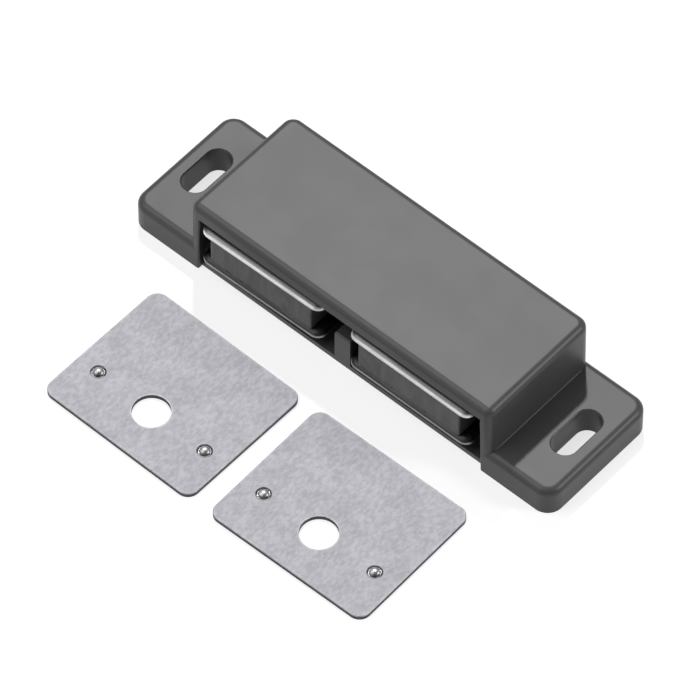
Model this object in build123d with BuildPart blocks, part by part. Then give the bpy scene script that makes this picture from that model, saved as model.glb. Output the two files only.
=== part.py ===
from build123d import *

import math
import os

os.makedirs("parts", exist_ok=True)

# A surface-mounted double magnetic catch. One moulded case holds two magnet packs, each a ferrite
# block between two steel poles, and two steel strike plates lie in front of it. Millimetres. The
# origin is the centre of the face that is screwed down, X runs along the case, the mouth faces -Y
# and the cover is on top (+Z).

# Case outline
case_length = 86.2
case_depth = 23.8
case_height = 15.6
lug_height = 5.4
lug_corner_radius = 2.8
box_top_length = 61.2
box_lug_length = 61.6  # where the box meets the lugs: its end walls lean in towards the top
box_middle = 0.15
rim_radius = 1.25  # around the tops of the foot and the box
box_front_radius = 1.3  # upright corners beside the mouth
box_back_radius = 2.0

# Screw slots, one through each lug
slot_spacing = 76.0
slot_width = 4.4
slot_length = 9.8
slot_setback = 0.25  # slot middles behind the middle of the case
slot_edge_break = 0.2

# Mouth and the cavity behind it, which narrow upwards as the end walls do
mouth_lip_length = 57.2
mouth_foot_length = 58.0
mouth_middle = 0.05
lip_underside = 12.6
lip_thickness = 1.5
cover_thickness = 1.5
cheek_step = 0.35  # how far the cavity widens on each side behind the mouth
back_wall_thickness = 1.4
mouth_edge_radius = 0.3

# Base plate, which closes the case from below, and the post between its two pockets
plate_thickness = 1.0
plate_setback = 0.95  # its front edge behind the front of the case
plate_gap = 0.05
tab_length = 1.4
tab_width = 8.0
post_middle = 0.15
post_width = 3.2
post_height = 7.1
post_edge_radius = 0.3

# Poles and magnets
pole_length = 24.7
pole_depth = 19.5
pole_thickness = 1.0
pole_corner_radius = 1.8
pole_edge_radius = 0.35  # rolled over by the blanking punch
pole_edge_break = 0.15  # on the burr side
pole_overhang = 0.1  # how far the poles stand out of the mouth at rest
lower_pole_base = 3.2
magnet_thickness = 6.0
magnet_length = 20.6
magnet_depth = 18.6
magnet_setback = 0.35  # magnet front behind the pole fronts
magnet_edge_radius = 0.25

# The packs lie loose in their pockets: name, middle of the pole fronts (X) and turn about Z
pack_places = {
    "left": (-16.15, 0.9),
    "right": (14.2, 0.0),
}

# Pins and ribs that hold the packs, with room to float sideways, and out and in
pocket_middle = 15.2
pin_radius = 1.5
pin_y = -2.2
pin_reach = 0.9  # how far a pin enters the hole of its pole
side_float = 1.5  # to each side of the pocket middle
float_out = 0.7
float_in = 0.5
float_clearance = 0.1
rib_width = 1.2
rib_spread = 14.0
rib_setback = 5.0  # rib fronts behind the front of the case
rib_gap = 0.1

# Strike plates: name, centre (X, Y) and turn about Z
strike_length = 30.8
strike_depth = 26.0
strike_thickness = 0.8
strike_corner_radius = 2.0
strike_edge_break = 0.12
strike_hole_radius = 3.1
strike_hole_offset = -4.8
pip_spacing = 22.3
pip_radius = 0.75
pip_height = 0.5
pip_ring_radius = 1.35
pip_ring_depth = 0.12
pip_hollow_radius = 0.6
pip_hollow_nose = 0.2  # radius of the flat nose of the punch
pip_hollow_depth = 0.45
strike_places = {
    "left_strike": (-15.55, -32.7, -0.68),
    "right_strike": (18.75, -32.7, 0.83),
}

# Levels and lines that follow from those
front = -case_depth / 2
plate_front = front + plate_setback
cavity_back = case_depth / 2 - back_wall_thickness
ceiling = case_height - cover_thickness
end_wall_lean = (box_lug_length - box_top_length) / 2 / (case_height - lug_height)
box_foot_length = box_top_length + 2 * end_wall_lean * case_height
mouth_lean = (mouth_foot_length - mouth_lip_length) / 2 / lip_underside
cavity_foot_length = mouth_foot_length + 2 * cheek_step
cavity_ceiling_length = cavity_foot_length - 2 * mouth_lean * ceiling
pole_front = front - pole_overhang
magnet_base = lower_pole_base + pole_thickness
upper_pole_base = magnet_base + magnet_thickness
pack_top = upper_pole_base + pole_thickness
pole_hole_length = 2 * (pin_radius + side_float + float_clearance)
pole_hole_width = 2 * (pin_radius + float_clearance) + float_out + float_in
pole_hole_depth = pin_y + (float_out - float_in) / 2 - pole_front  # hole middle behind the pole front
plate_depth = cavity_back - plate_gap - plate_front
rib_depth = cavity_back - plate_gap - front - rib_setback
pip_ring_floor = strike_thickness - pip_ring_depth
pip_top = strike_thickness + pip_height
pip_rise = pip_top - pip_ring_floor
pip_sphere_radius = (pip_radius**2 + pip_rise**2) / (2 * pip_rise)
pip_sphere_height = pip_top - pip_sphere_radius
pip_rise_angle = math.degrees(math.asin((pip_ring_floor - pip_sphere_height) / pip_sphere_radius))
pip_arc = 90 - pip_rise_angle


def turned_plane(x, y, z, turn):
    """A level plane at a point, with its own X turned about Z by some degrees."""
    x_dir = (math.cos(math.radians(turn)), math.sin(math.radians(turn)), 0)
    return Plane(origin=(x, y, z), x_dir=x_dir, z_dir=(0, 0, 1))


def lies_on_lug_top(edge):
    """True for an edge that runs in the plane of the lug tops."""
    box = edge.bounding_box()
    return abs(box.min.Z - lug_height) < 0.001 and abs(box.max.Z - lug_height) < 0.001


def stands_upright(edge):
    """True for an edge that runs the whole height of the case."""
    return edge.bounding_box().size.Z > case_height - 0.001


def bounds_slot(edge):
    """True for an edge whose middle lies within the plan of a screw slot."""
    from_slot = abs(abs(edge.center().X) - slot_spacing / 2)
    from_middle = abs(edge.center().Y - slot_setback)
    return from_middle < slot_length / 2 and from_slot < slot_width / 2 + 0.01


def bounds_mouth(edge):
    """True for an edge around the mouth, in the plane of the case front."""
    box = edge.bounding_box()
    in_front_plane = abs(box.min.Y - front) < 0.001 and abs(box.max.Y - front) < 0.001
    middle = edge.center()
    in_mouth = abs(middle.X - mouth_middle) < mouth_foot_length / 2
    return in_front_plane and in_mouth and 0.01 < middle.Z < lip_underside + 0.01


# The foot of the moulded housing, which makes the lugs
with BuildPart() as foot:
    with BuildSketch():
        RectangleRounded(case_length, case_depth, lug_corner_radius)
    extrude(amount=lug_height)
    fillet(foot.faces().sort_by(Axis.Z)[-1].edges(), rim_radius)

# The box that stands on the foot, flush with it in front and behind
with BuildPart() as box:
    with BuildSketch(Plane.XZ):
        Polygon(
            (box_middle - box_foot_length / 2, 0),
            (box_middle + box_foot_length / 2, 0),
            (box_middle + box_top_length / 2, case_height),
            (box_middle - box_top_length / 2, case_height),
            align=None,
        )
    extrude(amount=case_depth / 2, both=True)
    fillet(box.edges().filter_by(stands_upright).group_by(Axis.Y)[0], box_front_radius)
    fillet(box.edges().filter_by(stands_upright).group_by(Axis.Y)[-1], box_back_radius)
    fillet(box.faces().sort_by(Axis.Z)[-1].edges(), rim_radius)

# The housing: both together, with slots, the lipped mouth and the cavity
with BuildPart() as housing:
    add(foot.part)
    add(box.part)

    # Screw slots with softened rims
    with BuildSketch():
        for side in (-1, 1):
            with Locations((side * slot_spacing / 2, slot_setback)):
                SlotOverall(slot_length, slot_width, rotation=90)
    extrude(amount=lug_height, mode=Mode.SUBTRACT)
    slot_rims = housing.edges().filter_by(lies_on_lug_top)
    slot_rims = slot_rims.filter_by(bounds_slot)
    chamfer(slot_rims, slot_edge_break)

    # The cavity behind the lip, and the mouth under it, both open downwards
    with BuildSketch(Plane.XZ.offset(-front - lip_thickness)):
        Polygon(
            (mouth_middle - cavity_foot_length / 2, 0),
            (mouth_middle + cavity_foot_length / 2, 0),
            (mouth_middle + cavity_ceiling_length / 2, ceiling),
            (mouth_middle - cavity_ceiling_length / 2, ceiling),
            align=None,
        )
    extrude(amount=front + lip_thickness - cavity_back, mode=Mode.SUBTRACT)
    with BuildSketch(Plane.XZ.offset(-front)):
        Polygon(
            (mouth_middle - mouth_foot_length / 2, 0),
            (mouth_middle + mouth_foot_length / 2, 0),
            (mouth_middle + mouth_lip_length / 2, lip_underside),
            (mouth_middle - mouth_lip_length / 2, lip_underside),
            align=None,
        )
    extrude(amount=-lip_thickness, mode=Mode.SUBTRACT)
    fillet(housing.edges().filter_by(bounds_mouth), mouth_edge_radius)

    # Sockets in the underside of the end walls for the tabs of the base plate
    with BuildSketch():
        with Locations((mouth_middle, 0)):
            Rectangle(mouth_foot_length + 2 * tab_length, tab_width + 2 * plate_gap)
    extrude(amount=plate_thickness, mode=Mode.SUBTRACT)

    # Hold-down ribs and pins under the cover, for the upper poles
    with BuildSketch(Plane.XY.offset(ceiling)):
        for side in (-1, 1):
            for step in (-0.5, 0.5):
                with Locations((side * pocket_middle + step * rib_spread, front + rib_setback)):
                    Rectangle(rib_width, rib_depth, align=(Align.CENTER, Align.MIN))
    extrude(amount=pack_top + rib_gap - ceiling)
    with BuildSketch(Plane.XY.offset(ceiling)):
        for side in (-1, 1):
            with Locations((side * pocket_middle, pin_y)):
                Circle(pin_radius)
    extrude(amount=pack_top - pin_reach - ceiling)
housing.part.label = "housing"
export_step(housing.part, "parts/housing.step")

# The base plate: a floor with end tabs, the post, and ribs and pins for the lower poles
with BuildPart() as base_plate:
    with BuildSketch():
        with Locations((mouth_middle, plate_front)):
            Rectangle(mouth_foot_length - 2 * plate_gap, plate_depth, align=(Align.CENTER, Align.MIN))
        with Locations((mouth_middle, 0)):
            Rectangle(mouth_foot_length + 2 * (tab_length - plate_gap), tab_width)
    extrude(amount=plate_thickness)
    with BuildSketch():
        with Locations((post_middle, plate_front)):
            Rectangle(post_width, plate_depth, align=(Align.CENTER, Align.MIN))
    extrude(amount=post_height)
    post_rim = base_plate.faces().sort_by(Axis.Z)[-1].edges()
    fillet(post_rim, post_edge_radius)
    with BuildSketch(Plane.XY.offset(plate_thickness)):
        for side in (-1, 1):
            for step in (-0.5, 0.5):
                with Locations((side * pocket_middle + step * rib_spread, front + rib_setback)):
                    Rectangle(rib_width, rib_depth, align=(Align.CENTER, Align.MIN))
    extrude(amount=lower_pole_base - rib_gap - plate_thickness)
    with BuildSketch(Plane.XY.offset(plate_thickness)):
        for side in (-1, 1):
            with Locations((side * pocket_middle, pin_y)):
                Circle(pin_radius)
    extrude(amount=lower_pole_base + pin_reach - plate_thickness)
base_plate.part.label = "base_plate"
export_step(base_plate.part, "parts/base_plate.step")

# Magnet packs: steel poles, alike above and below, and the ferrite block set back between them
for side_name, (middle_x, turn) in pack_places.items():
    for level_name, base in (("lower", lower_pole_base), ("upper", upper_pole_base)):
        place = turned_plane(middle_x, pole_front, base, turn)
        with BuildPart() as pole:
            with BuildSketch(place):
                with Locations((0, pole_depth / 2)):
                    RectangleRounded(pole_length, pole_depth, pole_corner_radius)
            extrude(amount=pole_thickness)
            fillet(pole.faces().sort_by(Axis.Z)[-1].edges(), pole_edge_radius)
            chamfer(pole.faces().sort_by(Axis.Z)[0].edges(), pole_edge_break)
            with BuildSketch(place):
                with Locations((0, pole_hole_depth)):
                    Rectangle(pole_hole_length, pole_hole_width)
            extrude(amount=pole_thickness, mode=Mode.SUBTRACT)
        pole_name = side_name + "_" + level_name + "_pole"
        pole.part.label = pole_name
        export_step(pole.part, "parts/" + pole_name + ".step")

    with BuildPart() as magnet:
        with BuildSketch(turned_plane(middle_x, pole_front, magnet_base, turn)):
            with Locations((0, magnet_setback + magnet_depth / 2)):
                RectangleRounded(magnet_length, magnet_depth, magnet_edge_radius)
        extrude(amount=magnet_thickness)
    magnet_name = side_name + "_magnet"
    magnet.part.label = magnet_name
    export_step(magnet.part, "parts/" + magnet_name + ".step")

# Strike plates: sheared sheet, one screw hole and two pips pressed up through a coined ring
for strike_name, (place_x, place_y, turn) in strike_places.items():
    place = turned_plane(place_x, place_y, 0, turn)
    with BuildPart() as strike:
        with BuildSketch(place):
            RectangleRounded(strike_length, strike_depth, strike_corner_radius)
            with Locations((0, strike_hole_offset)):
                Circle(strike_hole_radius, mode=Mode.SUBTRACT)
        extrude(amount=strike_thickness)
        outline_rim = strike.faces().sort_by(Axis.Z)[-1].outer_wire().edges()
        chamfer(outline_rim, strike_edge_break)
        for pip_side in (-1, 1):
            pip_origin = place.from_local_coords((pip_side * pip_spacing / 2, strike_hole_offset, 0))
            pip_section = Plane(origin=pip_origin, x_dir=place.x_dir, z_dir=-place.y_dir)
            pip_axis = Axis(pip_origin, (0, 0, 1))
            with BuildSketch(pip_section):
                Polygon(
                    (0, pip_ring_floor),
                    (pip_ring_radius - pip_ring_depth, pip_ring_floor),
                    (pip_ring_radius, strike_thickness),
                    (0, strike_thickness),
                    align=None,
                )
            revolve(axis=pip_axis, mode=Mode.SUBTRACT)
            with BuildSketch(pip_section):
                with BuildLine():
                    Line((0, pip_ring_floor), (pip_radius, pip_ring_floor))
                    CenterArc((0, pip_sphere_height), pip_sphere_radius, pip_rise_angle, pip_arc)
                    Line((0, pip_top), (0, pip_ring_floor))
                make_face()
            revolve(axis=pip_axis)
            with BuildSketch(pip_section):
                Polygon(
                    (0, 0),
                    (pip_hollow_radius, 0),
                    (pip_hollow_nose, pip_hollow_depth),
                    (0, pip_hollow_depth),
                    align=None,
                )
            revolve(axis=pip_axis, mode=Mode.SUBTRACT)
    strike.part.label = strike_name
    export_step(strike.part, "parts/" + strike_name + ".step")
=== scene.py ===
"""Finishes and studio for a surface-mounted magnetic catch.

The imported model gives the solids: a moulded case, a base plate, two magnet packs and two strike
plates. This script gives them their finishes. It replaces the poles by surfaces with rolled edges
and the magnets by surfaces with chipped ones, and adds the pips' crowns and the radii at the feet
of the end walls. Then it sets up the floor, the lamps and the camera. Lengths are in metres in
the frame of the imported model: X runs along the case, the mouth faces -Y and +Z is up from the
mounting face.
"""

import logging
import math
from dataclasses import dataclass, field
from enum import Enum

import bpy
import numpy as np
from mathutils import Matrix, Vector


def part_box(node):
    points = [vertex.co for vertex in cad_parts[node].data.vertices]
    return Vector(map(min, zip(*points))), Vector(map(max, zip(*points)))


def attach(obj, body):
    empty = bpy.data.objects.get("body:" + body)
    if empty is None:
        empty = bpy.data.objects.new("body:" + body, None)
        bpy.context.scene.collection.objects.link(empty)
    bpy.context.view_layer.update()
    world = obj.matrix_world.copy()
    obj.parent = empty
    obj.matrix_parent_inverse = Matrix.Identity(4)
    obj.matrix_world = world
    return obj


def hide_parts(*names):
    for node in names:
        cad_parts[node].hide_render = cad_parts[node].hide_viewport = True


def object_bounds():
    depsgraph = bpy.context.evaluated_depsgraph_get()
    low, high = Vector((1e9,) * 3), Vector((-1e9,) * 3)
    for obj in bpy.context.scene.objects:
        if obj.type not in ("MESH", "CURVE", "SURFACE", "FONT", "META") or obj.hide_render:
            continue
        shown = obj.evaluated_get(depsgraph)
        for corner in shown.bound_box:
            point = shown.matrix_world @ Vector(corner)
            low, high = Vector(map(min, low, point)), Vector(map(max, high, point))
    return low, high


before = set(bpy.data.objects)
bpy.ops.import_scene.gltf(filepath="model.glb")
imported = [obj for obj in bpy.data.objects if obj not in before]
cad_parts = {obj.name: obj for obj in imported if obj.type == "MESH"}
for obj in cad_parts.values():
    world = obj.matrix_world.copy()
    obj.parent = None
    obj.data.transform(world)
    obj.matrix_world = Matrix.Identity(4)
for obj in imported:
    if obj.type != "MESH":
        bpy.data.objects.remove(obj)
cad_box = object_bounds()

log = logging.getLogger("magnetic_catch")

MM = 0.001

Socket = bpy.types.NodeSocket
Material = bpy.types.Material
Piece = bpy.types.Object
Tree = bpy.types.NodeTree
Span = tuple[float, float]
Triple = tuple[float, float, float]
Color = Triple
Array = np.ndarray
Faces = list[list[int]]

NOISE_SPAN: Span = (0.3, 0.7)  # holds nearly all the values of a noise texture
NOISE_MIDDLE: Span = (0.35, 0.65)  # holds most of them


class Side(Enum):
    """The end of the case that a magnet pack or a strike plate belongs to."""

    LEFT = "left"
    RIGHT = "right"


class Level(Enum):
    """Which face of its magnet a pole lies on."""

    LOWER = "lower"
    UPPER = "upper"


CHIP_SEED = {Side.LEFT: 11, Side.RIGHT: 23}


# ---- Shader nodes ----


class NodeGraph:
    """A shader node tree under construction, with short calls that add and join nodes."""

    def __init__(self, tree: Tree) -> None:
        """Starts on the node tree of a material or a group, and empties it."""
        self.tree = tree
        tree.nodes.clear()

    def add(self, kind: str, **settings: object) -> bpy.types.Node:
        """Adds a node and sets its properties.

        Args:
            kind: the node's type name without its ShaderNode prefix, or NodeGroupInput and such.
            settings: node properties by name.

        Returns:
            The new node.
        """
        name = kind if kind.startswith("NodeGroup") else "ShaderNode" + kind
        node = self.tree.nodes.new(name)
        for key, value in settings.items():
            setattr(node, key, value)
        return node

    def feed(self, target: Socket, value: object) -> None:
        """Joins a socket to an input, or sets the input's own value.

        Args:
            target: the input.
            value: another socket, or a plain value; a plain colour is opaque.
        """
        if isinstance(value, bpy.types.NodeSocket):
            self.tree.links.new(value, target)
        elif target.type == "RGBA":
            target.default_value = (*value, 1.0)
        else:
            target.default_value = value

    def wire(self, node: bpy.types.Node, **values: object) -> bpy.types.Node:
        """Feeds a node's inputs by name.

        Args:
            node: the node.
            values: a value or socket for each input, with underscores for spaces.

        Returns:
            The node.
        """
        for key, value in values.items():
            self.feed(node.inputs[key.replace("_", " ")], value)
        return node

    def math(self, operation: str, *values: object, clamp: bool = False) -> Socket:
        """Adds a Math node.

        Args:
            operation: the operation's name.
            values: one to three numbers or sockets.
            clamp: whether the result stays between 0 and 1.

        Returns:
            The result.
        """
        node = self.add("Math", operation=operation, use_clamp=clamp)
        for target, value in zip(node.inputs, values):
            self.feed(target, value)
        return node.outputs[0]

    def span(
        self, value: object, low: float, high: float, to_low: float = 0.0, to_high: float = 1.0
    ) -> Socket:
        """Carries a value from the span low to high over to another span, smoothly and clamped.

        Args:
            value: the socket to carry over.
            low: the start of its span.
            high: the end of its span.
            to_low: what low becomes.
            to_high: what high becomes.

        Returns:
            The carried value.
        """
        node = self.add("MapRange", interpolation_type="SMOOTHSTEP")
        for index, item in enumerate((value, low, high, to_low, to_high)):
            self.feed(node.inputs[index], item)
        return node.outputs[0]

    def mix_color(self, share: object, first: object, second: object) -> Socket:
        """Mixes two colours, with a share from 0 for the first to 1 for the second."""
        node = self.wire(self.add("Mix", data_type="RGBA"), Factor=share, A=first, B=second)
        return node.outputs["Result"]

    def place(self, stretch: Triple = (1.0, 1.0, 1.0), turn: float = 0.0) -> Socket:
        """Adds Object coordinates in metres, stretched and turned about Z.

        Args:
            stretch: factors along X, Y and Z; a factor above 1 packs the pattern closer.
            turn: angle in radians.

        Returns:
            The coordinates.
        """
        source = self.add("TexCoord").outputs["Object"]
        mapping = self.wire(self.add("Mapping"), Vector=source, Rotation=(0.0, 0.0, turn), Scale=stretch)
        return mapping.outputs["Vector"]

    def marked(self, name: str) -> Socket:
        """The value that the mesh carries at its points under this name."""
        return self.add("Attribute", attribute_name=name).outputs["Fac"]

    def noise(self, where: Socket, scale: object, detail: float = 2.0, roughness: float = 0.5) -> Socket:
        """Adds a noise texture.

        Args:
            where: the coordinates.
            scale: about how many bumps there are to a metre.
            detail: how many finer layers lie on the first.
            roughness: how strong each finer layer is against the one before.

        Returns:
            Values round 0.5.
        """
        node = self.add("TexNoise")
        self.wire(node, Vector=where, Scale=scale, Detail=detail, Roughness=roughness)
        return node.outputs["Fac"]


@dataclass
class EffectGroup:
    """A shader node group with float inputs and outputs, and the nodes at its two ends."""

    name: str
    inputs: tuple[str, ...]
    outputs: tuple[str, ...]

    def __post_init__(self) -> None:
        """Makes the group's tree with its sockets."""
        self.tree = bpy.data.node_groups.new(self.name, "ShaderNodeTree")
        self.graph = NodeGraph(self.tree)
        for label in self.inputs:
            self.tree.interface.new_socket(label, in_out="INPUT", socket_type="NodeSocketFloat")
        for label in self.outputs:
            self.tree.interface.new_socket(label, in_out="OUTPUT", socket_type="NodeSocketFloat")
        self.inlet = self.graph.add("NodeGroupInput")
        self.outlet = self.graph.add("NodeGroupOutput")

    def give(self, label: str, value: Socket) -> None:
        """Joins a socket to the group's output of this name."""
        self.graph.feed(self.outlet.inputs[label], value)


@dataclass
class SharedEffects:
    """The effects that more than one finish uses, each a node group made once."""

    broad_in_height: float = 0.25
    wear_starts: float = 0.995
    wear_full: float = 0.85
    wear_patches: float = 900.0
    thinnest_wear: float = 0.25
    scratch_turns: tuple[float, float] = (0.5, 2.1)
    scratch_stretch: float = 0.04
    scratch_width: float = 0.012
    scratch_patches: float = 90.0
    patch_span: Span = (0.5, 0.7)

    def __post_init__(self) -> None:
        """Builds the groups."""
        self.grain = self._grain()
        self.wear = self._wear()
        self.scratches = self._scratches()

    def _grain(self) -> Tree:
        """Two sizes of noise: Height is mostly the fine one, Cloud is the broad one.

        Returns:
            The group's tree.
        """
        effect = EffectGroup("surface_grain", ("Fine", "Broad"), ("Height", "Cloud"))
        graph = effect.graph
        where = graph.place()
        fine = graph.noise(where, effect.inlet.outputs["Fine"], detail=2.0)
        broad = graph.noise(where, effect.inlet.outputs["Broad"], detail=3.0, roughness=0.55)
        effect.give("Height", graph.math("MULTIPLY_ADD", broad, self.broad_in_height, fine))
        effect.give("Cloud", broad)
        return effect.tree

    def _wear(self) -> Tree:
        """Mask near outside edges: how far the normal turns when corners are rounded off.

        Returns:
            The group's tree.
        """
        effect = EffectGroup("edge_wear", ("Radius",), ("Mask",))
        graph = effect.graph
        rounded = graph.wire(graph.add("Bevel", samples=6), Radius=effect.inlet.outputs["Radius"])
        surface = graph.add("NewGeometry")
        agreement = graph.add("VectorMath", operation="DOT_PRODUCT")
        graph.feed(agreement.inputs[0], rounded.outputs["Normal"])
        graph.feed(agreement.inputs[1], surface.outputs["Normal"])
        turned = graph.span(agreement.outputs["Value"], self.wear_starts, self.wear_full)
        broken = graph.noise(graph.place(), self.wear_patches)
        patches = graph.span(broken, *NOISE_MIDDLE, self.thinnest_wear, 1.0)
        effect.give("Mask", graph.math("MULTIPLY", turned, patches))
        return effect.tree

    def _scratches(self) -> Tree:
        """Mask of fine handling marks: the ridges of two noises drawn out in crossed directions.

        Returns:
            The group's tree.
        """
        effect = EffectGroup("fine_scratches", ("Scale",), ("Mask",))
        graph = effect.graph
        crossed = []
        for turn in self.scratch_turns:
            where = graph.place((self.scratch_stretch, 1.0, 1.0), turn)
            lines = graph.noise(where, effect.inlet.outputs["Scale"], detail=1.0)
            ridge = graph.math("ABSOLUTE", graph.math("SUBTRACT", lines, 0.5))
            crossed.append(graph.span(ridge, 0.0, self.scratch_width, 1.0, 0.0))
        patches = graph.span(graph.noise(graph.place(), self.scratch_patches), *self.patch_span)
        effect.give("Mask", graph.math("MULTIPLY", graph.math("MAXIMUM", *crossed), patches))
        return effect.tree


@dataclass(frozen=True)
class Grain:
    """The fine relief of a surface: bumps a metre of its two noises, its strength and its depth."""

    fine: float
    broad: float
    strength: float
    depth: float


class Finish:
    """A material with one Principled surface, on which a recipe paints."""

    def __init__(self, name: str, effects: SharedEffects) -> None:
        """Makes the material with its shader and its output.

        Args:
            name: the material's name.
            effects: the shared node groups.
        """
        self.effects = effects
        self.material = bpy.data.materials.new(name)
        self.material.use_nodes = True
        self.graph = NodeGraph(self.material.node_tree)
        self.shader = self.graph.add("BsdfPrincipled")
        self.graph.wire(self.graph.add("OutputMaterial"), Surface=self.shader.outputs["BSDF"])

    def set(self, **values: object) -> None:
        """Sets shader inputs by name, with underscores for spaces."""
        self.graph.wire(self.shader, **values)

    def group(self, tree: Tree, **values: float) -> bpy.types.Node:
        """Places a shared effect with its values and returns the node."""
        return self.graph.wire(self.graph.add("Group", node_tree=tree), **values)

    def relief(self, height: Socket, strength: float, distance: float) -> None:
        """Turns a height into the shader's normal.

        Args:
            height: the height's socket.
            strength: the bump's strength.
            distance: the height in metres that a value of 1 stands for.
        """
        bump = self.graph.add("Bump")
        self.graph.wire(bump, Height=height, Strength=strength, Distance=distance)
        self.set(Normal=bump.outputs["Normal"])

    def roughen(self, grain: Grain) -> Socket:
        """Gives the surface its grain.

        Args:
            grain: its sizes and depth.

        Returns:
            The broad noise.
        """
        node = self.group(self.effects.grain, Fine=grain.fine, Broad=grain.broad)
        self.relief(node.outputs["Height"], grain.strength, grain.depth)
        return node.outputs["Cloud"]

    def worn(self, radius: float, share: float = 1.0) -> Socket:
        """Mask of the outside edges, as wide as this radius in metres, times a share."""
        mask = self.group(self.effects.wear, Radius=radius).outputs["Mask"]
        return self.graph.math("MULTIPLY", mask, share)

    def scratched(self, scale: float, share: float = 1.0) -> Socket:
        """Mask of fine handling marks, about so many a metre, times a share."""
        mask = self.group(self.effects.scratches, Scale=scale).outputs["Mask"]
        return self.graph.math("MULTIPLY", mask, share)


@dataclass(frozen=True)
class Recipe:
    """What a material is made of; each kind paints in its own way."""

    name: str = "finish"

    def make(self, effects: SharedEffects) -> Material:
        """Builds the material.

        Args:
            effects: the shared node groups.

        Returns:
            The material.
        """
        finish = Finish(self.name, effects)
        self.paint(finish, finish.graph)
        return finish.material

    def paint(self, finish: Finish, graph: NodeGraph) -> None:
        """Feeds the shader; every kind of recipe says how."""
        raise NotImplementedError


@dataclass(frozen=True)
class MouldedPlastic(Recipe):
    """Injection-moulded plastic with a fine spark-eroded grain and faint scuffs."""

    name: str = "case_plastic_finish"
    color: Color = (0.051, 0.051, 0.052)
    worn_color: Color = (0.085, 0.085, 0.088)
    mottle: float = 0.03
    roughness: float = 0.43
    roughness_spread: float = 0.006
    specular: float = 0.38
    grain: Grain = Grain(5200.0, 160.0, 0.5, 4e-6)
    wear_radius: float = 0.25 * MM
    wear_share: float = 0.35
    scuff_scale: float = 500.0
    scuff_share: float = 0.06
    scuff_shine: float = 0.006

    def paint(self, finish: Finish, graph: NodeGraph) -> None:
        """Mottles the plastic, lightens it on worn edges and scuffs, and smooths the scuffs.

        Args:
            finish: the material to paint on.
            graph: the material's nodes.
        """
        cloud = graph.span(finish.roughen(self.grain), *NOISE_SPAN)
        wear = finish.worn(self.wear_radius, self.wear_share)
        scuffs = finish.scratched(self.scuff_scale)
        rubbed = graph.math("MAXIMUM", wear, graph.math("MULTIPLY", scuffs, self.scuff_share))
        shares = (1.0 - self.mottle, 1.0 + self.mottle)
        dark, light = (tuple(share * part for part in self.color) for share in shares)
        spread = self.roughness_spread
        matt = graph.span(cloud, 0.0, 1.0, self.roughness - spread, self.roughness + spread)
        finish.set(
            Base_Color=graph.mix_color(rubbed, graph.mix_color(cloud, dark, light), self.worn_color),
            Roughness=graph.math("SUBTRACT", matt, graph.math("MULTIPLY", scuffs, self.scuff_shine)),
            Specular_IOR_Level=self.specular,
        )


@dataclass(frozen=True)
class PlatedSteel(Recipe):
    """Blanked pole steel with rolling lines; its faces take painted shade, its edge a painted
    reflection.
    """

    name: str = "upper_pole_finish"
    color: Color = (0.86, 0.85, 0.84)
    dull_color: Color = (0.6, 0.588, 0.575)
    # Painted shade on the faces, and where along the edge the painted reflection starts.
    shaded_face_color: Color = (0.12, 0.12, 0.12)
    reflection_start: float = 0.0
    roughness: float = 0.44
    line_shine: float = 0.06
    line_haze: float = 0.08
    cloud_scale: float = 260.0
    cloud_share: float = 0.45
    scratch_scale: float = 700.0
    scratch_share: float = 0.5
    line_scale: float = 2600.0
    line_stretch: float = 0.05
    line_strength: float = 0.35
    line_depth: float = 5e-6

    def paint(self, finish: Finish, graph: NodeGraph) -> None:
        """Lays painted shade on the faces, and down the edge a painted reflection in bright metal with
        stains.

        Args:
            finish: the material to paint on.
            graph: the material's nodes.
        """
        lines = graph.noise(graph.place((self.line_stretch, 1.0, 1.0)), self.line_scale)
        finish.relief(lines, self.line_strength, self.line_depth)
        broad = finish.group(finish.effects.grain, Broad=self.cloud_scale).outputs["Cloud"]
        cloud = graph.math("MULTIPLY", graph.span(broad, *NOISE_MIDDLE), self.cloud_share)
        stain = graph.math("MAXIMUM", cloud, finish.scratched(self.scratch_scale, self.scratch_share))
        bright = graph.mix_color(stain, self.color, self.dull_color)
        # Painted light: dark painted shade near the top face, a bright painted reflection down the edge.
        edge = graph.span(graph.marked("painted_reflection"), self.reflection_start, 1.0)
        smooth, rough = self.roughness - self.line_shine, self.roughness + self.line_haze
        finish.set(
            Base_Color=graph.mix_color(edge, self.shaded_face_color, bright),
            Metallic=1.0,
            Roughness=graph.span(lines, *NOISE_SPAN, smooth, rough),
        )


@dataclass(frozen=True)
class SinteredFerrite(Recipe):
    """Pressed and sintered ferrite: dry, coarse faces under streaks of dust."""

    name: str = "ferrite_finish"
    color: Color = (0.07, 0.07, 0.072)
    dusty_color: Color = (0.15, 0.147, 0.145)
    roughness: float = 0.55
    roughness_spread: float = 0.1
    grain: Grain = Grain(5000.0, 420.0, 0.7, 1.2e-5)
    wear_radius: float = 0.3 * MM
    wear_share: float = 0.5
    streak_scale: float = 900.0
    streak_stretch: float = 0.12
    streak_span: Span = (0.45, 0.75)
    patch_span: Span = (0.35, 0.7)

    def paint(self, finish: Finish, graph: NodeGraph) -> None:
        """Lays the dust in upright streaks, in patches and along the edges.

        Args:
            finish: the material to paint on.
            graph: the material's nodes.
        """
        cloud = finish.roughen(self.grain)
        where = graph.place((1.0, 1.0, self.streak_stretch))
        streaks = graph.noise(where, self.streak_scale, detail=3.0, roughness=0.6)
        thick = graph.span(streaks, *self.streak_span)
        dust = graph.math("MULTIPLY", thick, graph.span(cloud, *self.patch_span))
        dust = graph.math("MAXIMUM", dust, finish.worn(self.wear_radius, self.wear_share))
        spread = self.roughness_spread
        finish.set(
            Base_Color=graph.mix_color(dust, self.color, self.dusty_color),
            Roughness=graph.span(streaks, *NOISE_SPAN, self.roughness - spread, self.roughness + spread),
        )


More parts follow.
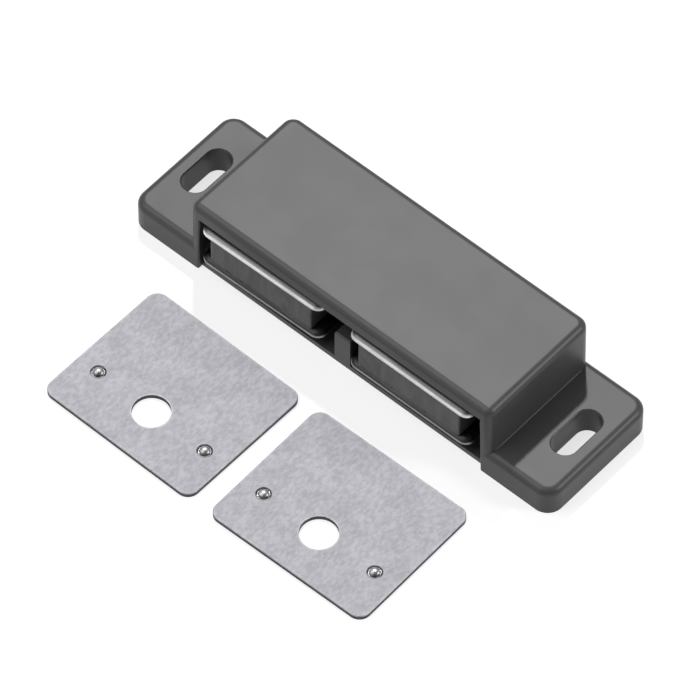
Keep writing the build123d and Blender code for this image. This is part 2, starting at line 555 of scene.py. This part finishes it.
@dataclass(frozen=True)
class PressedZinc(Recipe):
    """Zinc stretched bright over a pip's dome and dull in the ring round it, with painted shade on both.
    """

    name: str = "strike_pip_finish"
    color: Color = (0.75, 0.75, 0.76)
    ring_color: Color = (0.42, 0.415, 0.44)
    # Painted shade where the mesh is marked for it, broken into patches.
    painted_shade_color: Color = (0.03, 0.03, 0.031)
    roughness: float = 0.38
    ring_roughness: float = 0.7
    thinnest_shade: float = 0.75
    grain: Grain = Grain(2600.0, 1800.0, 0.3, 4e-6)

    def paint(self, finish: Finish, graph: NodeGraph) -> None:
        """Polishes the zinc and lays painted shade on it where the mesh is marked for them.

        Args:
            finish: the material to paint on.
            graph: the material's nodes.
        """
        patches = graph.span(finish.roughen(self.grain), *NOISE_SPAN, self.thinnest_shade, 1.0)
        painted_shade = graph.math("MULTIPLY", graph.marked("painted_shade"), patches)
        polish = graph.marked("polish")
        clean = graph.mix_color(polish, self.ring_color, self.color)
        finish.set(
            Base_Color=graph.mix_color(painted_shade, clean, self.painted_shade_color),
            Metallic=1.0,
            Roughness=graph.span(polish, 0.0, 1.0, self.ring_roughness, self.roughness),
        )


@dataclass(frozen=True)
class ZincSheet(Recipe):
    """Zinc-coated sheet: finely mottled flat faces, rubbed rims and painted shade on the sheared edges.
    """

    name: str = "strike_face_finish"
    color: Color = (0.462, 0.456, 0.487)
    dull_color: Color = (0.352, 0.347, 0.372)
    rubbed_color: Color = (0.6, 0.597, 0.61)
    speck_color: Color = (0.16, 0.16, 0.17)
    # Painted shade on the upright sheared edges.
    edge_shade_color: Color = (0.09, 0.09, 0.095)
    steep_span: Span = (0.12, 0.35)
    roughness: float = 0.69
    roughness_spread: float = 0.006
    grain: Grain = Grain(2600.0, 260.0, 0.6, 1.0e-5)
    wear_radius: float = 0.7 * MM
    fleck_scale: float = 1900.0
    fleck_stretch: float = 0.6
    fleck_turn: float = 0.7
    fleck_span: Span = (0.32, 0.68)
    fleck_share: float = 0.7
    cloud_share: float = 0.25
    mark_scale: float = 420.0
    mark_share: float = 0.5
    speck_scale: float = 330.0
    speck_share: float = 0.2
    speck_span: Span = (0.02, 0.05)
    speck_strength: float = 0.6

    def paint(self, finish: Finish, graph: NodeGraph) -> None:
        """Lays the coating, its rubbed rims, its specks and the sheared edges' painted shade over one
        another.

        Args:
            finish: the material to paint on.
            graph: the material's nodes.
        """
        cloud = finish.roughen(self.grain)
        marks = finish.scratched(self.mark_scale, self.mark_share)
        coated = self._coating(graph, cloud, marks)
        coated = graph.mix_color(finish.worn(self.wear_radius), coated, self.rubbed_color)
        coated = graph.mix_color(self._specks(graph), coated, self.speck_color)
        spread = self.roughness_spread
        # The upright faces get painted shade over the coating.
        finish.set(
            Base_Color=graph.mix_color(self._upright_shade(graph), coated, self.edge_shade_color),
            Metallic=1.0,
            Roughness=graph.span(cloud, *NOISE_SPAN, self.roughness - spread, self.roughness + spread),
        )

    def _coating(self, graph: NodeGraph, cloud: Socket, marks: Socket) -> Socket:
        """Fine flecks of the coating over a faint broad cloud, crossed by handling marks.

        Args:
            graph: the material's nodes.
            cloud: the grain's broad noise.
            marks: mask of the handling marks.

        Returns:
            The colour.
        """
        where = graph.place((1.0, self.fleck_stretch, 1.0), self.fleck_turn)
        flecks = graph.noise(where, self.fleck_scale, detail=3.0, roughness=0.6)
        fine = graph.span(flecks, *self.fleck_span, 0.0, self.fleck_share)
        mottle = graph.math("MULTIPLY_ADD", graph.span(cloud, *NOISE_SPAN), self.cloud_share, fine)
        return graph.mix_color(graph.math("MAXIMUM", mottle, marks), self.color, self.dull_color)

    def _specks(self, graph: NodeGraph) -> Socket:
        """Mask of sparse dark specks: the middles of a few cells of a Voronoi pattern.

        Args:
            graph: the material's nodes.

        Returns:
            The mask.
        """
        cells = graph.add("TexVoronoi", feature="F1")
        graph.wire(cells, Vector=graph.place(), Scale=self.speck_scale)
        picked = graph.wire(graph.add("SeparateColor"), Color=cells.outputs["Color"])
        few = graph.math("GREATER_THAN", picked.outputs["Red"], 1.0 - self.speck_share)
        dot = graph.span(cells.outputs["Distance"], *self.speck_span, self.speck_strength, 0.0)
        return graph.math("MULTIPLY", few, dot)

    def _upright_shade(self, graph: NodeGraph) -> Socket:
        """Mask of painted shade on the sheared edges: wherever the surface stands nearly upright.

        Args:
            graph: the material's nodes.

        Returns:
            The mask.
        """
        facing = graph.add("TexCoord").outputs["Normal"]
        upright = graph.wire(graph.add("SeparateXYZ"), Vector=facing)
        steep = graph.math("ABSOLUTE", upright.outputs["Z"])
        return graph.span(steep, *self.steep_span, 1.0, 0.0)


# ---- Surfaces ----


def rounded_outline(
    length: float, depth: float, radius: float, arc_steps: int, side_steps: int
) -> tuple[Array, Array]:
    """Walks round a rounded rectangle, anticlockwise from the far end of its right side.

    A point of the outline is its base point plus the radius times its normal. The base runs along
    the sides of the inner rectangle, which is smaller by the radius all round, and stands still at
    each corner while the normal turns a quarter.

    Args:
        length: full size along X.
        depth: full size along Y.
        radius: corner radius.
        arc_steps: steps in each quarter turn.
        side_steps: steps along each side.

    Returns:
        The base points and the outward normals, both of shape (n, 2).
    """
    half_x, half_y = length / 2 - radius, depth / 2 - radius
    corners = np.array([(half_x, half_y), (-half_x, half_y), (-half_x, -half_y), (half_x, -half_y)])
    quarter = np.linspace(0.0, math.pi / 2, arc_steps + 1)
    bases, normals = [], []
    for index in range(4):
        angle = index * math.pi / 2 + quarter
        bases.append(np.repeat(corners[index : index + 1], arc_steps + 1, axis=0))
        normals.append(np.stack([np.cos(angle), np.sin(angle)], axis=1))
        share = np.linspace(0.0, 1.0, side_steps + 1)[1:-1, None]
        bases.append(corners[index] * (1 - share) + corners[(index + 1) % 4] * share)
        normals.append(np.repeat(normals[-1][-1:], side_steps - 1, axis=0))
    return np.concatenate(bases), np.concatenate(normals)


def quads(rows: int, columns: int, rows_closed: bool) -> Array:
    """Faces of a grid of vertices whose columns close on themselves.

    Args:
        rows: number of rows.
        columns: number of columns.
        rows_closed: whether the last row joins the first.

    Returns:
        Four vertex numbers a face, of shape (faces, 4).
    """
    row = np.arange(rows if rows_closed else rows - 1)[:, None]
    column = np.arange(columns)[None, :]
    next_row, next_column = (row + 1) % rows, (column + 1) % columns
    here, beyond = row * columns, next_row * columns
    corners = (here + column, here + next_column, beyond + next_column, beyond + column)
    return np.stack([corner.reshape(-1) for corner in corners], axis=1)


def closed_tube(rows: int, columns: int, falling: bool) -> Faces:
    """Faces of a tube round Z: its wall, and a fan onto each of the two points after its grid.

    Args:
        rows: number of rows.
        columns: number of points in a row.
        falling: whether the rows run downwards and not upwards.

    Returns:
        The vertex numbers of each face, anticlockwise from outside.
    """
    first = np.arange(columns)
    following = (first + 1) % columns
    last = (rows - 1) * columns
    start = np.stack([following, first, np.full(columns, rows * columns)], axis=1)
    end = np.stack([last + first, last + following, np.full(columns, rows * columns + 1)], axis=1)
    parts = [quads(rows, columns, rows_closed=False), start, end]
    if falling:
        parts = [part[:, ::-1] for part in parts]
    return [face for part in parts for face in part.tolist()]


def lifted(plan: Array, height: Array) -> Array:
    """Gives each row of a flat grid its height, so that (rows, n, 2) becomes (rows, n, 3)."""
    levels = np.broadcast_to(height[:, None, None], plan.shape[:2] + (1,))
    return np.concatenate([plan, levels], axis=2)


def mesh_object(name: str, points: Array, faces: Faces, sharp_angle: float) -> Piece:
    """Puts points and faces into a mesh object at the origin, shaded smooth up to an angle.

    Args:
        name: the object's name.
        points: vertices of shape (n, 3), in the model's frame.
        faces: vertex numbers of each face, anticlockwise from outside.
        sharp_angle: angle in radians above which an edge stays sharp.

    Returns:
        The object, linked to the scene.
    """
    mesh = bpy.data.meshes.new(name)
    mesh.from_pydata(points.tolist(), [], faces)
    mesh.validate()
    mesh.shade_smooth()
    mesh.set_sharp_from_angle(angle=sharp_angle)
    mesh.update()
    piece = bpy.data.objects.new(name, mesh)
    bpy.context.scene.collection.objects.link(piece)
    return piece


def mark_points(piece: Piece, name: str, values: Array) -> None:
    """Writes one value for each point into the mesh, in the points' order, for its finish to read."""
    attribute = piece.data.attributes.new(name, "FLOAT", "POINT")
    attribute.data.foreach_set("value", np.asarray(values, dtype=np.float32))


def centre_and_turn(node: str, turn: float) -> Matrix:
    """Where a flat piece stands: the middle of its node's box, at the box's floor, turned about Z.

    Args:
        node: the CAD node's name.
        turn: turn in radians.

    Returns:
        The placement.
    """
    low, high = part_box(node)
    middle = (low + high) / 2
    return Matrix.Translation((middle.x, middle.y, low.z)) @ Matrix.Rotation(turn, 4, "Z")


def placed(points: Array, place: Matrix) -> Array:
    """Carries points of shape (n, 3) by a placement."""
    matrix = np.array(place)
    return points @ matrix[:3, :3].T + matrix[:3, 3]


# ---- Sub-assemblies ----


@dataclass
class Case:
    """The moulded housing with the base plate pressed into it."""

    housing: str = "housing"
    base_plate: str = "base_plate"
    wall_spacing: float = 61.6 * MM
    wall_middle: float = 0.15 * MM
    lug_height: float = 5.4 * MM
    foot_radius: float = 0.2 * MM
    foot_front: float = -10.55 * MM
    foot_back: float = 9.9 * MM
    run_out: float = 0.9 * MM
    least_share: float = 0.08
    sunk: float = 0.02 * MM
    buried: float = 0.12 * MM
    sharp_angle: float = math.radians(40)
    arc_steps: int = 10
    path_steps: int = 48

    def foot_round(self, side: Side) -> Piece:
        """Builds the hollow radius where an end wall stands on its lug.

        A quarter of a circle, hollow side up and outwards, is carried along the foot of the wall.
        At each end its radius grows from a small share, as a quarter of an ellipse over the run
        out. Three corners sunk in the moulding close the section behind it.

        Args:
            side: the end of the case.

        Returns:
            The radius as a closed strip.
        """
        away = -1.0 if side is Side.LEFT else 1.0
        way = (1.0 - np.cos(np.linspace(0.0, math.pi, self.path_steps + 1))) / 2
        along = self.foot_front + (self.foot_back - self.foot_front) * way
        inwards = np.minimum(along - self.foot_front, self.foot_back - along) / self.run_out
        grown = np.sqrt(np.clip(inwards * (2.0 - np.minimum(inwards, 1.0)), 0.0, 1.0))
        radius = self.foot_radius * (self.least_share + (1.0 - self.least_share) * grown)
        angle = np.linspace(math.pi, 1.5 * math.pi, self.arc_steps + 1)
        out = radius[:, None] * (1.0 + np.cos(angle)[None]) - self.sunk
        up = radius[:, None] * (1.0 + np.sin(angle)[None]) - self.sunk
        buried = np.full((len(along), 1), -self.buried)
        out = np.concatenate([out, out[:, -1:], buried, buried], axis=1)
        up = np.concatenate([up, buried, buried, up[:, :1]], axis=1)
        x = self.wall_middle + away * (self.wall_spacing / 2 + out)
        y = np.broadcast_to(along[:, None], x.shape)
        grid = np.stack([x, y, self.lug_height + up], axis=2)
        rows, columns = grid.shape[:2]
        faces = quads(rows, columns, rows_closed=False).tolist()
        faces += [list(range(columns))[::-1], list(range((rows - 1) * columns, rows * columns))]
        if side is Side.LEFT:
            faces = [face[::-1] for face in faces]
        low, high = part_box(self.housing)
        foot = Matrix.Translation(((low.x + high.x) / 2, (low.y + high.y) / 2, low.z))
        points = placed(grid.reshape(-1, 3), foot)
        return mesh_object(f"{side.value}_wall_foot_radius", points, faces, self.sharp_angle)

    def dress(self, plastic: Material) -> None:
        """Gives both mouldings their plastic and adds the radii at the feet of the end walls.

        Args:
            plastic: their finish.
        """
        for node in (self.housing, self.base_plate):
            assign(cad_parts[node], plastic)
        for side in Side:
            piece = self.foot_round(side)
            assign(piece, plastic)
            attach(piece, "case")


@dataclass
class Pole:
    """A blanked steel pole: rolled over on its upper edge and broken flat on its lower one."""

    side: Side
    level: Level
    turn: float
    length: float = 24.7 * MM
    depth: float = 19.5 * MM
    thickness: float = 1.0 * MM
    corner_radius: float = 1.8 * MM
    roll_width: float = 1.3 * MM
    roll_depth: float = 0.88 * MM
    edge_break: float = 0.06 * MM
    # How the painted reflection rises along the edge, and its share on the break.
    reflection_span: Span = (0.4, 0.96)
    break_reflection: float = 0.5
    hole_length: float = 6.2 * MM
    hole_width: float = 4.4 * MM
    hole_corner_radius: float = 0.1 * MM
    hole_offset: float = 0.15 * MM
    arc_steps: int = 16
    side_steps: int = 24
    roll_steps: int = 20
    sharp_angle: float = math.radians(35)

    @property
    def node(self) -> str:
        """The CAD node that this pole stands for."""
        return f"{self.side.value}_{self.level.value}_pole"

    def section(self) -> tuple[Array, Array, Array]:
        """The outer edge from the top face down to the underside.

        The roll-over is a quarter of an ellipse, wider than it is deep, as the punch draws the
        metal down. The sheared band below it is straight, and a small flat break takes the burr
        off. A painted reflection rises along the edge in a smooth step of the square of the sine
        of the ellipse's angle, from nothing near the face, which stays in painted shade, to all of
        it on the sheared band.

        Returns:
            How far each point stands in from the outline, its height, and its share of painted
            reflection.
        """
        angle = np.linspace(0.0, math.pi / 2, self.roll_steps + 1)
        inset = self.roll_width * (1.0 - np.sin(angle))
        height = self.thickness - self.roll_depth * (1.0 - np.cos(angle))
        inset = np.concatenate([inset, [0.0, self.edge_break]])
        height = np.concatenate([height, [self.edge_break, 0.0]])
        low, high = self.reflection_span
        step = np.clip((np.sin(angle) ** 2 - low) / (high - low), 0.0, 1.0)
        painted_reflection = np.concatenate([step**2 * (3.0 - 2.0 * step), [1.0, self.break_reflection]])
        return inset, height, painted_reflection

    def build(self) -> Piece:
        """Builds the pole as one closed band, carried round the outline and its hole.

        Every row follows the outline at one place of the section. The first and last rows run
        round the hole, so that the top face, the edge, the underside and the wall of the hole
        close into a ring.

        Returns:
            The pole's object.
        """
        steps = (self.arc_steps, self.side_steps)
        base, normal = rounded_outline(self.length, self.depth, self.corner_radius, *steps)
        hole_base, hole_normal = rounded_outline(
            self.hole_length, self.hole_width, self.hole_corner_radius, *steps
        )
        hole = hole_base + self.hole_corner_radius * hole_normal + np.array([0.0, self.hole_offset])
        inset, height, painted_reflection = self.section()
        edge = base[None] + (self.corner_radius - inset)[:, None, None] * normal[None]
        rows = np.concatenate([hole[None], edge, hole[None]])
        grid = lifted(rows, np.concatenate([[self.thickness], height, [0.0]]))
        points = placed(grid.reshape(-1, 3), centre_and_turn(self.node, self.turn))
        faces = quads(*grid.shape[:2], rows_closed=True)[:, ::-1]
        piece = mesh_object(f"{self.node}_blank", points, faces.tolist(), self.sharp_angle)
        # The hole rows carry no painted reflection, so they stay in painted shade.
        by_row = np.concatenate([[0.0], painted_reflection, [0.0]])
        mark_points(piece, "painted_reflection", np.repeat(by_row, grid.shape[1]))
        return piece

    def dress(self, steel: Material) -> None:
        """Builds the pole, gives it its steel and sets it in the node's place.

        Args:
            steel: its finish.
        """
        piece = self.build()
        assign(piece, steel)
        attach(piece, f"{self.side.value}_pack")
        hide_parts(self.node)


@dataclass
class MagnetBlock:
    """A ferrite block with brittle, slightly chipped edges."""

    side: Side
    turn: float
    length: float = 20.6 * MM
    depth: float = 18.6 * MM
    height: float = 6.0 * MM
    corner_radius: float = 0.3 * MM
    edge_radius: float = 0.22 * MM
    chip_depth: float = 0.16 * MM
    chip_width: Span = (0.15 * MM, 0.6 * MM)
    chip_reach: Span = (0.1 * MM, 0.35 * MM)
    chip_share: Span = (0.25, 1.0)
    deepest_share: float = 1.4
    chips: int = 70
    arc_steps: int = 6
    side_steps: int = 120
    edge_steps: int = 6
    wall_steps: int = 30
    sharp_angle: float = math.radians(50)

    @property
    def node(self) -> str:
        """The CAD node that this block stands for."""
        return f"{self.side.value}_magnet"

    def section(self) -> tuple[Array, Array]:
        """The block's side from the bottom up: a rounded edge, the upright wall, the other edge.

        Returns:
            How far each point stands in from the outline, and its height.
        """
        angle = np.linspace(0.0, math.pi / 2, self.edge_steps + 1)
        inset = self.edge_radius * (1 - np.sin(angle))
        rise = self.edge_radius * (1 - np.cos(angle))
        ends = (self.edge_radius, self.height - self.edge_radius)
        wall = np.linspace(*ends, self.wall_steps + 1)[1:-1]
        inset = np.concatenate([inset, np.zeros_like(wall), inset[::-1]])
        return inset, np.concatenate([rise, wall, (self.height - rise)[::-1]])

    def dents(self, outline: Array, height: Array) -> Array:
        """How deep the chips go at every point of the side.

        A chip's depth falls off as a bell along the outline, and as another from the edge into
        the wall. Where chips meet, their depths add up to a limit.

        Args:
            outline: points round the block, of shape (n, 2).
            height: the heights of the section.

        Returns:
            Depths of shape (heights, n).
        """
        steps = np.linalg.norm(np.diff(outline, axis=0), axis=1)
        along = np.concatenate([[0.0], np.cumsum(steps)])
        rng = np.random.default_rng(CHIP_SEED[self.side])
        place = rng.uniform(0.0, along[-1], self.chips)
        width = rng.uniform(*self.chip_width, self.chips)
        reach = rng.uniform(*self.chip_reach, self.chips)
        depth = rng.uniform(*self.chip_share, self.chips) * self.chip_depth
        at_top = rng.integers(0, 2, self.chips).astype(bool)
        bell = np.exp(-(((along[None] - place[:, None]) / width[:, None]) ** 2))
        from_edge = np.where(at_top[:, None], self.height - height[None], height[None])
        fall = np.exp(-((from_edge / reach[:, None]) ** 2))
        dent = np.einsum("c,ch,ca->ha", depth, fall, bell)
        return np.minimum(dent, self.deepest_share * self.chip_depth)

    def build(self) -> Piece:
        """Builds the block as rows round its outline, closed by a fan at the top and the bottom.

        Returns:
            The block's object.
        """
        base, normal = rounded_outline(
            self.length, self.depth, self.corner_radius, self.arc_steps, self.side_steps
        )
        inset, height = self.section()
        dent = self.dents(base + self.corner_radius * normal, height)
        out = self.corner_radius - inset[:, None] - dent
        grid = lifted(base[None] + out[:, :, None] * normal[None], height)
        ends = np.array([[0.0, 0.0, 0.0], [0.0, 0.0, self.height]])
        stand = centre_and_turn(self.node, self.turn)
        points = placed(np.concatenate([grid.reshape(-1, 3), ends]), stand)
        faces = closed_tube(*grid.shape[:2], falling=False)
        return mesh_object(f"{self.node}_block", points, faces, self.sharp_angle)

    def dress(self, ferrite: Material) -> None:
        """Builds the block, gives it its ferrite and sets it in the node's place.

        Args:
            ferrite: its finish.
        """
        piece = self.build()
        assign(piece, ferrite)
        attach(piece, f"{self.side.value}_pack")
        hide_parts(self.node)


@dataclass
class MagnetPack:
    """A magnet between two poles, loose in its pocket."""

    side: Side
    turn: float

    def dress(self, steels: dict[Level, Material], ferrite: Material) -> None:
        """Builds and dresses the block and both poles.

        Args:
            steels: the finish of each pole.
            ferrite: the block's finish.
        """
        MagnetBlock(self.side, self.turn).dress(ferrite)
        for level in Level:
            Pole(self.side, level, self.turn).dress(steels[level])


@dataclass
class Pip:
    """A pressed pip: a dome that rises out of a coined ring."""

    dome_radius: float = 0.95 * MM
    ring_radius: float = 1.02 * MM
    rim_radius: float = 1.36 * MM
    top: float = 1.302 * MM
    ring_floor: float = 0.7 * MM
    face: float = 0.804 * MM
    seat: float = 0.6 * MM
    fullness: float = 0.62
    # Painted shade gathers on the dome's side towards the camera and on the ring's far side.
    near_side: float = math.radians(-49.0)
    near_gain: float = 2.0
    near_power: int = 4
    far_side: float = math.radians(115.0)
    far_level: float = 1.4
    far_swing: float = 2.0
    turns: int = 64
    dome_steps: int = 18
    wall_steps: int = 8
    sharp_angle: float = math.radians(60)

    def profile(self) -> tuple[Array, Array, Array]:
        """The pip's section from its crown outwards and back under itself.

        The dome's height above the ring is one less the square of the radius share, to the power
        of its fullness. Half a cosine wave leads from the ring up to the face. Painted shade grows
        with the root of the radius share on the dome, fills the ring and fades up the wall.

        Returns:
            Radii, heights, and how much painted shade each place gets, below 0 on the dome.
        """
        share = np.sin(np.linspace(0.0, math.pi / 2, self.dome_steps + 1))[1:]
        dome = self.ring_floor + (self.top - self.ring_floor) * (1.0 - share**2) ** self.fullness
        step = np.linspace(0.0, 1.0, self.wall_steps + 1)
        wall = self.ring_radius + (self.rim_radius - self.ring_radius) * step
        climb = self.ring_floor + (self.face - self.ring_floor) * (1.0 - np.cos(math.pi * step)) / 2
        radius = np.concatenate([self.dome_radius * share, wall, [self.rim_radius]])
        painted_shade = np.concatenate([-np.sqrt(share), (1.0 + np.cos(math.pi * step**3)) / 2, [0.0]])
        return radius, np.concatenate([dome, climb, [self.seat]]), painted_shade

    def build(self, name: str, place: Matrix) -> Piece:
        """Turns the section round the pip's axis and closes it at the crown and underneath.

        Args:
            name: the piece's name.
            place: the foot of the pip's axis.

        Returns:
            The pip's object.
        """
        radius, height, painted_shade = self.profile()
        angle = np.linspace(0.0, 2 * math.pi, self.turns, endpoint=False)
        round_axis = np.stack([np.cos(angle), np.sin(angle)], axis=1)
        grid = lifted(radius[:, None, None] * round_axis[None], height)
        ends = np.array([[0.0, 0.0, self.top], [0.0, 0.0, self.seat]])
        points = placed(np.concatenate([grid.reshape(-1, 3), ends]), place)
        faces = closed_tube(*grid.shape[:2], falling=True)
        piece = mesh_object(name, points, faces, self.sharp_angle)
        shade_round = self.shade_round(painted_shade, angle).ravel()
        mark_points(piece, "painted_shade", np.concatenate([shade_round, [0.0, 0.0]]))
        on_dome = np.repeat(np.where(painted_shade < 0.0, 1.0, 0.0), self.turns)
        mark_points(piece, "polish", np.concatenate([on_dome, [1.0, 0.0]]))
        return piece

    def shade_round(self, painted_shade: Array, angle: Array) -> Array:
        """Gathers painted shade on two sides, each by a raised cosine of the angle, cut off at 0 and 1.

        Args:
            painted_shade: the section's painted shade, below 0 on the dome.
            angle: the angles round the axis.

        Returns:
            A grid of painted shade: the near side of the dome, and the far side of the ring.
        """
        raised = ((1.0 + np.cos(angle - self.near_side)) / 2) ** self.near_power
        near = np.clip(self.near_gain * raised, 0.0, 1.0)[None]
        far = np.clip(self.far_level + self.far_swing * np.cos(angle - self.far_side), 0.0, 1.0)[None]
        painted_shade = painted_shade[:, None]
        return np.where(painted_shade < 0.0, -painted_shade * near, painted_shade * far)


@dataclass
class StrikePlate:
    """A sheet steel plate with a screw hole and two pips."""

    side: Side
    turn: float
    pip_spacing: float = 22.3 * MM
    pip_offset: float = -4.8 * MM

    def dress(self, sheet: Material, pressed: Material) -> None:
        """Gives the plate its zinc-coated sheet and sets its two pips.

        Args:
            sheet: the plate's finish.
            pressed: the pips' finish.
        """
        node = f"{self.side.value}_strike"
        assign(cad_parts[node], sheet)
        for end, step in (("left", -0.5), ("right", 0.5)):
            along = Matrix.Translation((step * self.pip_spacing, self.pip_offset, 0.0))
            axis = centre_and_turn(node, self.turn) @ along
            piece = Pip().build(f"{node}_{end}_pip", axis)
            assign(piece, pressed)
            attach(piece, "case")


def assign(piece: Piece, material: Material) -> None:
    """Puts a material on an object's slots, on the object and not on its mesh, and logs it.

    Args:
        piece: the object.
        material: its finish.
    """
    if not piece.data.materials:
        piece.data.materials.append(material)
    for slot in piece.material_slots:
        slot.link = "OBJECT"
        slot.material = material
    log.info("%s: %d faces in %s", piece.name, len(piece.data.polygons), material.name)


# ---- Studio ----


@dataclass(frozen=True)
class SoftBox:
    """A round lamp that hangs in one direction from the middle of the object."""

    name: str
    direction: Triple
    distance: float
    size: float
    power: float

    def hang(self, aim: Vector) -> None:
        """Makes the lamp and points it.

        Args:
            aim: the point that it faces.
        """
        data = bpy.data.lights.new(self.name, "AREA")
        data.shape = "DISK"
        data.size = self.size
        data.energy = self.power
        lamp = bpy.data.objects.new(self.name, data)
        away = Vector(self.direction).normalized()
        lamp.location = aim + away * self.distance
        lamp.rotation_euler = away.to_track_quat("Z", "Y").to_euler()
        bpy.context.scene.collection.objects.link(lamp)


@dataclass(frozen=True)
class Studio:
    """A floor that shows as white paper, under four lamps and a weak even fill.

    The key lamp hangs behind and above, where flat upper faces mirror it towards the front and
    take their sheen from it. The side lamp hangs lower at the right, a little behind, and draws a
    light line along the rims there. The front lamp is broad and softens the front rims. The mouth
    lamp is weak and hangs low in front, where it looks into the mouth.
    """

    floor_size: float = 3.0
    floor_gap: float = 0.02 * MM
    floor_color: float = 0.35
    floor_glow: float = 0.72
    fill: float = 0.22
    lamps: tuple[SoftBox, ...] = (
        SoftBox("key_lamp", (-0.368, 0.42, 0.83), 1.5, 0.08, 11.1),
        SoftBox("side_lamp", (0.73, 0.44, 0.52), 1.2, 0.34, 6.0),
        SoftBox("front_lamp", (-0.39, -0.42, 0.82), 1.3, 1.0, 8.0),
        SoftBox("mouth_lamp", (-0.3, -0.92, 0.25), 1.2, 0.7, 1.5),
    )

    def build(self) -> None:
        """Makes the floor, the lamps and the world."""
        self._floor()
        low, high = Vector(cad_box[0]), Vector(cad_box[1])
        for lamp in self.lamps:
            lamp.hang((low + high) / 2)
        self._world()

    def _floor(self) -> None:
        """Lays the floor just under the object.

        It glows in direct view and in reflections only, so the glow casts no light on matt surfaces.
        """
        half = self.floor_size / 2
        level = cad_box[0][2] - self.floor_gap
        corners = ((-half, -half), (half, -half), (half, half), (-half, half))
        points = np.array([(x, y, level) for x, y in corners])
        floor = mesh_object("floor", points, [(0, 1, 2, 3)], math.pi)
        material = bpy.data.materials.new("floor_paper")
        material.use_nodes = True
        graph = NodeGraph(material.node_tree)
        paper = graph.wire(graph.add("BsdfDiffuse"), Color=(self.floor_color,) * 3)
        rays = graph.add("LightPath")
        seen = rays.outputs["Is Camera Ray"]
        for kind in ("Is Glossy Ray", "Is Transmission Ray"):
            seen = graph.math("ADD", seen, rays.outputs[kind], clamp=True)
        strength = graph.math("MULTIPLY", seen, self.floor_glow)
        glow = graph.wire(graph.add("Emission"), Strength=strength)
        both = graph.add("AddShader")
        graph.feed(both.inputs[0], paper.outputs["BSDF"])
        graph.feed(both.inputs[1], glow.outputs["Emission"])
        graph.wire(graph.add("OutputMaterial"), Surface=both.outputs["Shader"])
        assign(floor, material)

    def _world(self) -> None:
        """Fills the room with weak, even light."""
        world = bpy.data.worlds.new("studio")
        bpy.context.scene.world = world
        world.use_nodes = True
        background = world.node_tree.nodes["Background"]
        background.inputs["Color"].default_value = (1.0, 1.0, 1.0, 1.0)
        background.inputs["Strength"].default_value = self.fill


@dataclass(frozen=True)
class CameraRig:
    """A long lens that looks down on the catch from the front right."""

    azimuth: float = math.radians(41.11)
    elevation: float = math.radians(53.78)
    roll: float = math.radians(0.31)
    distance: float = 1.27
    aim: Triple = (-0.83 * MM, -8.04 * MM, 0.0)
    lens_mm: float = 422.0
    sensor_mm: float = 36.0
    nearest: float = 0.05
    farthest: float = 10.0

    def build(self) -> None:
        """Makes the camera and sets it as the scene's."""
        flat = math.cos(self.elevation)
        across, along = math.sin(self.azimuth) * flat, -math.cos(self.azimuth) * flat
        back = Vector((across, along, math.sin(self.elevation)))
        right = Vector((0.0, 0.0, 1.0)).cross(back).normalized()
        up = back.cross(right)
        data = bpy.data.cameras.new("camera")
        data.lens = self.lens_mm
        data.sensor_width = self.sensor_mm
        data.clip_start = self.nearest
        data.clip_end = self.farthest
        camera = bpy.data.objects.new("camera", data)
        stand = Matrix.Translation(Vector(self.aim) + back * self.distance)
        axes = Matrix((right, up, back)).transposed().to_4x4()
        camera.matrix_world = stand @ axes @ Matrix.Rotation(self.roll, 4, "Z")
        bpy.context.scene.collection.objects.link(camera)
        bpy.context.scene.camera = camera


@dataclass
class MagneticCatch:
    """The whole object, made of its sub-assemblies."""

    case: Case = field(default_factory=Case)
    packs: tuple[MagnetPack, ...] = (
        MagnetPack(Side.LEFT, math.radians(0.9)),
        MagnetPack(Side.RIGHT, 0.0),
    )
    strikes: tuple[StrikePlate, ...] = (
        StrikePlate(Side.LEFT, math.radians(-0.68)),
        StrikePlate(Side.RIGHT, math.radians(0.83)),
    )

    def dress(self) -> None:
        """Makes the finishes and dresses each sub-assembly."""
        effects = SharedEffects()
        self.case.dress(MouldedPlastic().make(effects))
        # The lower poles take a darker copy of the steel: painted shade for their place low in the
        # mouth.
        shaded_steel = PlatedSteel(
            name="lower_pole_shaded_finish",
            color=(0.34, 0.335, 0.33),
            dull_color=(0.2, 0.195, 0.19),
            shaded_face_color=(0.05, 0.05, 0.05),
            reflection_start=0.88,
        )
        steels = {Level.UPPER: PlatedSteel().make(effects), Level.LOWER: shaded_steel.make(effects)}
        ferrite = SinteredFerrite().make(effects)
        for pack in self.packs:
            pack.dress(steels, ferrite)
        sheet = ZincSheet().make(effects)
        pressed = PressedZinc().make(effects)
        for strike in self.strikes:
            strike.dress(sheet, pressed)
        log.info("dressed %d packs and %d strikes", len(self.packs), len(self.strikes))


def main() -> None:
    """Dresses the catch and sets up the studio."""
    logging.basicConfig(level=logging.INFO, format="%(name)s: %(message)s")
    bpy.context.scene.view_settings.view_transform = "Standard"
    MagneticCatch().dress()
    Studio().build()
    CameraRig().build()


if __name__ == "__main__":
    main()
